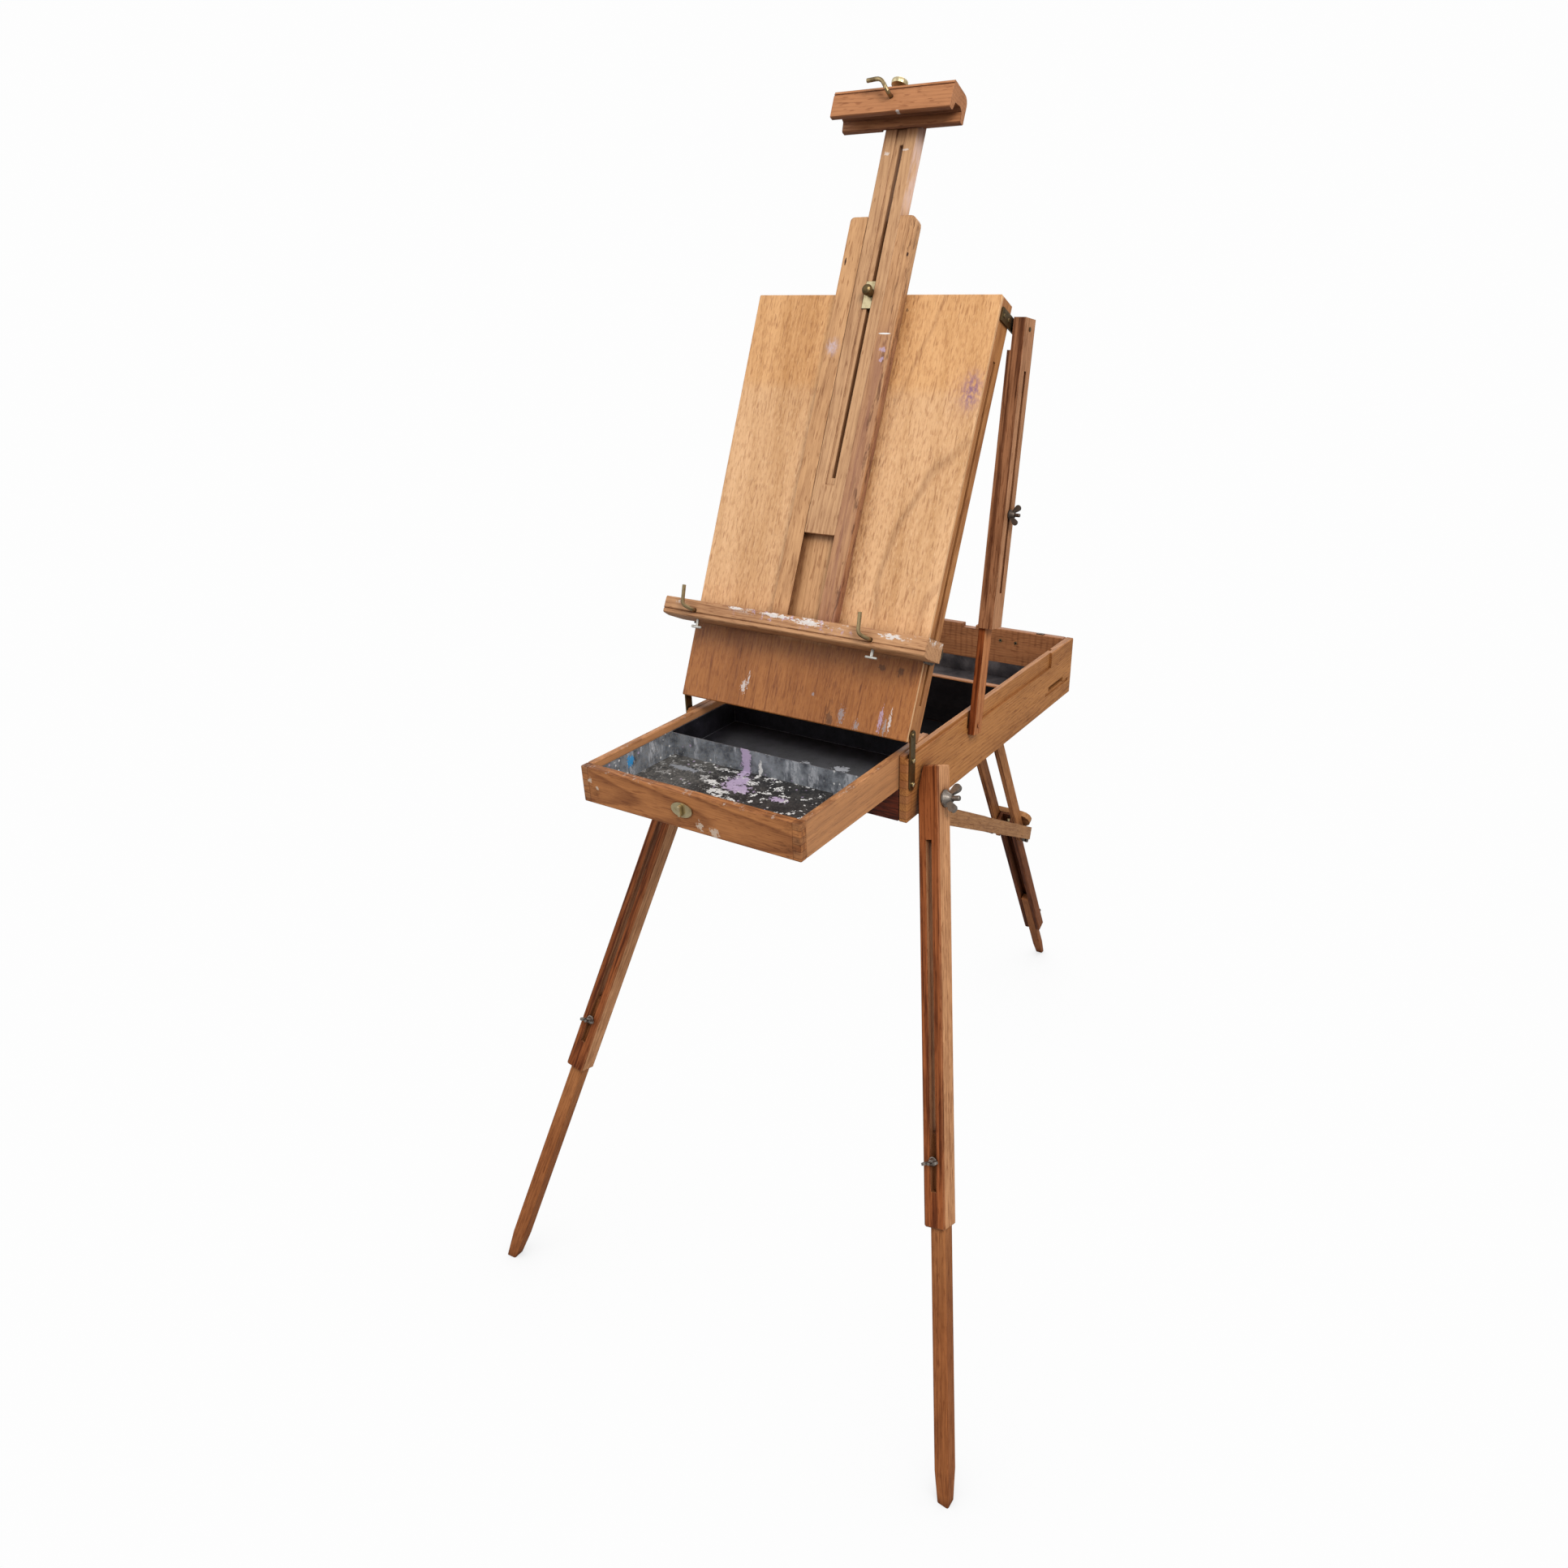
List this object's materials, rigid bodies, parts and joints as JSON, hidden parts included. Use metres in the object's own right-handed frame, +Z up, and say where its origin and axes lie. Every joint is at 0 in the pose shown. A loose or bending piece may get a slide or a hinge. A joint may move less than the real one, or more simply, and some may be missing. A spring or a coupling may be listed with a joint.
{
  "type": "french box easel",
  "caption": "Wooden field easel with a sketch box, sliding drawer, tilting back panel, sliding mast with top clamp, canvas ledge and folding telescopic legs.",
  "frame": {"origin": "on the ground, under the centre of the bounding box as set up for painting", "axes": "+X to the painter's right, +Y away from the painter, +Z up; the canvas side faces -Y"},
  "size_m": [0.7968, 1.2724, 1.6184],
  "materials": {
    "panel_beech": "varnished beech ply, satin",
    "box_beech": "varnished beech, satin",
    "drawer_beech": "varnished beech, satin",
    "leg_beech": "stained beech, satin",
    "mast_beech": "varnished beech, satin",
    "clamp_beech": "varnished beech, satin",
    "tray_metal": "dark sheet metal with dried paint",
    "zinc": "dull zinc-plated sheet",
    "brass": "lacquered brass",
    "old_brass": "darkened brass",
    "dark_steel": "dark tarnished steel"
  },
  "bodies": {
    "box": {"box_side_left": "box_beech", "box_side_right": "box_beech", "box_back": "box_beech", "box_floor": "box_beech", "box_front_rail": "box_beech", "box_divider": "box_beech", "rear_liner": "zinc", "strap_left": "old_brass", "strap_right": "old_brass"},
    "drawer": {"drawer_front": "drawer_beech", "drawer_side_left": "drawer_beech", "drawer_side_right": "drawer_beech", "drawer_back": "drawer_beech", "drawer_bottom": "drawer_beech", "drawer_liner": "tray_metal"},
    "drawer_latch": {"drawer_latch": "brass"},
    "panel": {"panel_face": "panel_beech", "panel_stile_left": "panel_beech", "panel_stile_right": "panel_beech", "panel_rail_top": "panel_beech", "panel_rail_bottom": "panel_beech", "strut_bracket_left": "old_brass", "strut_bracket_right": "old_brass"},
    "outer_mast": {"mast_outer": "mast_beech", "mast_plate": "brass"},
    "mast_knob": {"mast_knob": "old_brass"},
    "inner_mast": {"mast_inner": "mast_beech", "top_clamp": "clamp_beech"},
    "clamp_hook": {"clamp_hook": "brass"},
    "clamp_screw": {"clamp_screw": "brass"},
    "ledge": {"ledge": "clamp_beech", "ledge_guide_left": "old_brass", "ledge_guide_right": "old_brass"},
    "hook_left": {"hook_left": "old_brass"},
    "hook_screw_left": {"hook_screw_left": "brass"},
    "hook_right": {"hook_right": "old_brass"},
    "hook_screw_right": {"hook_screw_right": "brass"},
    "strut_upper_left": {"strut_upper_left": "leg_beech"},
    "strut_lower_left": {"strut_lower_left": "leg_beech"},
    "strut_nut_left": {"strut_nut_left": "dark_steel"},
    "front_leg_left": {"front_leg_left": "leg_beech"},
    "leg_nut_left": {"leg_nut_left": "dark_steel"},
    "front_extension_left": {"front_extension_left": "leg_beech"},
    "extension_nut_left": {"extension_nut_left": "dark_steel"},
    "stretcher_left": {"stretcher_left": "leg_beech"},
    "strut_upper_right": {"strut_upper_right": "leg_beech"},
    "strut_lower_right": {"strut_lower_right": "leg_beech"},
    "strut_nut_right": {"strut_nut_right": "dark_steel"},
    "front_leg_right": {"front_leg_right": "leg_beech"},
    "leg_nut_right": {"leg_nut_right": "dark_steel"},
    "front_extension_right": {"front_extension_right": "leg_beech"},
    "extension_nut_right": {"extension_nut_right": "dark_steel"},
    "stretcher_right": {"stretcher_right": "leg_beech"},
    "rear_leg": {"rear_rail_left": "leg_beech", "rear_rail_right": "leg_beech", "rear_crosspiece": "leg_beech", "rear_bolt": "brass"},
    "rear_channel": {"rear_channel": "leg_beech"},
    "rear_extension": {"rear_extension": "leg_beech"},
    "rear_nut": {"rear_nut": "dark_steel"}
  },
  "joints": [
    {"name": "drawer_slide", "type": "slide", "parent": "box", "child": "drawer", "axis": [0, 1, 0], "range_m": [-0.05, 0.217]},
    {"name": "drawer_latch_turn", "type": "hinge", "parent": "drawer", "child": "drawer_latch", "pos_m": [-0.004, -0.5664, 0.869], "axis": [0, 1, 0], "range_deg": [0, 90]},
    {"name": "panel_fold", "type": "hinge", "parent": "box", "child": "panel", "pos_m": [0, -0.3406, 0.9161], "axis": [-1, 0, 0], "range_deg": [-8, 65.26]},
    {"name": "outer_mast_slide", "type": "slide", "parent": "panel", "child": "outer_mast", "axis": [0, -0.4185, -0.9082], "range_m": [-0.06, 0.09]},
    {"name": "mast_knob_turn", "type": "hinge", "parent": "outer_mast", "child": "mast_knob", "pos_m": [0.0028, -0.14722, 1.39073], "axis": [0, 0.9082, -0.4185], "continuous": true},
    {"name": "inner_mast_slide", "type": "slide", "parent": "outer_mast", "child": "inner_mast", "axis": [0, -0.4185, -0.9082], "range_m": [-0.15, 0.09]},
    {"name": "clamp_hook_swing", "type": "hinge", "parent": "inner_mast", "child": "clamp_hook", "pos_m": [-0.002, -0.06762, 1.58616], "axis": [0, 0.9082, -0.4185], "range_deg": [-100, 80]},
    {"name": "clamp_screw_turn", "type": "hinge", "parent": "inner_mast", "child": "clamp_screw", "pos_m": [-0.0035, -0.07582, 1.59346], "axis": [0, 0.4185, 0.9082], "continuous": true},
    {"name": "ledge_slide", "type": "slide", "parent": "panel", "child": "ledge", "axis": [0, -0.4185, -0.9082], "range_m": [-0.3, 0.05]},
    {"name": "hook_left_swing", "type": "hinge", "parent": "ledge", "child": "hook_left", "pos_m": [-0.142, -0.32881, 1.01934], "axis": [0, 0.9082, -0.4185], "range_deg": [-100, 100]},
    {"name": "hook_screw_left_turn", "type": "hinge", "parent": "ledge", "child": "hook_screw_left", "pos_m": [-0.142, -0.34464, 1.01486], "axis": [0, 0.4185, 0.9082], "continuous": true},
    {"name": "hook_right_swing", "type": "hinge", "parent": "ledge", "child": "hook_right", "pos_m": [0.1195, -0.32881, 1.01934], "axis": [0, 0.9082, -0.4185], "range_deg": [-100, 100]},
    {"name": "hook_screw_right_turn", "type": "hinge", "parent": "ledge", "child": "hook_screw_right", "pos_m": [0.1195, -0.34464, 1.01486], "axis": [0, 0.4185, 0.9082], "continuous": true},
    {"name": "strut_upper_left_turn", "type": "hinge", "parent": "panel", "child": "strut_upper_left", "pos_m": [-0.181, -0.09649, 1.35029], "axis": [-1, 0, 0], "range_deg": [-2, 15.4]},
    {"name": "strut_lower_left_slide", "type": "slide", "parent": "strut_upper_left", "child": "strut_lower_left", "axis": [0, 0.1498, 0.9887], "range_m": [-0.021, 0.161]},
    {"name": "strut_nut_left_turn", "type": "hinge", "parent": "strut_lower_left", "child": "strut_nut_left", "pos_m": [-0.1913, -0.12821, 1.14092], "axis": [-1, 0, 0], "continuous": true},
    {"name": "strut_upper_right_turn", "type": "hinge", "parent": "panel", "child": "strut_upper_right", "pos_m": [0.181, -0.09649, 1.35029], "axis": [-1, 0, 0], "range_deg": [-2, 15.4]},
    {"name": "strut_lower_right_slide", "type": "slide", "parent": "strut_upper_right", "child": "strut_lower_right", "axis": [0, 0.1498, 0.9887], "range_m": [-0.021, 0.161]},
    {"name": "strut_nut_right_turn", "type": "hinge", "parent": "strut_lower_right", "child": "strut_nut_right", "pos_m": [0.1913, -0.12821, 1.14092], "axis": [1, 0, 0], "continuous": true},
    {"name": "front_leg_left_fold", "type": "hinge", "parent": "box", "child": "front_leg_left", "pos_m": [-0.1903, -0.3147, 0.8254], "axis": [0.972, 0, -0.2352], "range_deg": [0, 110.43]},
    {"name": "leg_nut_left_turn", "type": "hinge", "parent": "front_leg_left", "child": "leg_nut_left", "pos_m": [-0.1903, -0.3147, 0.8254], "axis": [-0.972, 0, 0.2352], "continuous": true},
    {"name": "front_extension_left_slide", "type": "slide", "parent": "front_leg_left", "child": "front_extension_left", "axis": [0.2204, 0.3491, 0.9108], "range_m": [-0.035, 0.36]},
    {"name": "extension_nut_left_turn", "type": "hinge", "parent": "front_extension_left", "child": "extension_nut_left", "pos_m": [-0.28953, -0.48824, 0.41527], "axis": [0.0821, -0.9371, 0.3393], "continuous": true},
    {"name": "front_leg_right_fold", "type": "hinge", "parent": "box", "child": "front_leg_right", "pos_m": [0.1903, -0.3147, 0.8254], "axis": [0.972, 0, 0.2352], "range_deg": [0, 110.43]},
    {"name": "leg_nut_right_turn", "type": "hinge", "parent": "front_leg_right", "child": "leg_nut_right", "pos_m": [0.1903, -0.3147, 0.8254], "axis": [0.972, 0, 0.2352], "continuous": true},
    {"name": "front_extension_right_slide", "type": "slide", "parent": "front_leg_right", "child": "front_extension_right", "axis": [-0.2204, 0.3491, 0.9108], "range_m": [-0.035, 0.36]},
    {"name": "extension_nut_right_turn", "type": "hinge", "parent": "front_extension_right", "child": "extension_nut_right", "pos_m": [0.28953, -0.48824, 0.41527], "axis": [-0.0821, -0.9371, 0.3393], "continuous": true},
    {"name": "rear_leg_fold", "type": "hinge", "parent": "box", "child": "rear_leg", "pos_m": [0, 0.1914, 0.7875], "axis": [-1, 0, 0], "range_deg": [0, 119.3]},
    {"name": "rear_channel_slide", "type": "slide", "parent": "rear_leg", "child": "rear_channel", "axis": [0, -0.4894, 0.8721], "range_m": [0, 0.24]},
    {"name": "rear_extension_slide", "type": "slide", "parent": "rear_channel", "child": "rear_extension", "axis": [0, -0.4894, 0.8721], "range_m": [-0.01, 0.075]},
    {"name": "rear_nut_turn", "type": "hinge", "parent": "rear_extension", "child": "rear_nut", "pos_m": [0, 0.57537, 0.13148], "axis": [0, 0.8721, 0.4894], "continuous": true},
    {"name": "stretcher_left_fold", "type": "hinge", "parent": "box", "child": "stretcher_left", "pos_m": [-0.164, -0.2821, 0.7855], "axis": [0.985, -0.1725, 0], "range_deg": [0, 27.84]},
    {"name": "stretcher_right_fold", "type": "hinge", "parent": "box", "child": "stretcher_right", "pos_m": [0.164, -0.2821, 0.7855], "axis": [0.985, 0.1725, 0], "range_deg": [0, 27.84]}
  ],
  "couplings": [
    {"joint": "strut_upper_left_turn", "follows": "panel_fold", "ratio": 0.23331},
    {"joint": "strut_lower_left_slide", "follows": "panel_fold", "m_per_rad": 0.14023},
    {"joint": "strut_upper_right_turn", "follows": "panel_fold", "ratio": 0.23331},
    {"joint": "strut_lower_right_slide", "follows": "panel_fold", "m_per_rad": 0.14023},
    {"joint": "stretcher_left_fold", "follows": "rear_leg_fold", "ratio": 0.23325},
    {"joint": "stretcher_right_fold", "follows": "rear_leg_fold", "ratio": 0.23325}
  ]
}
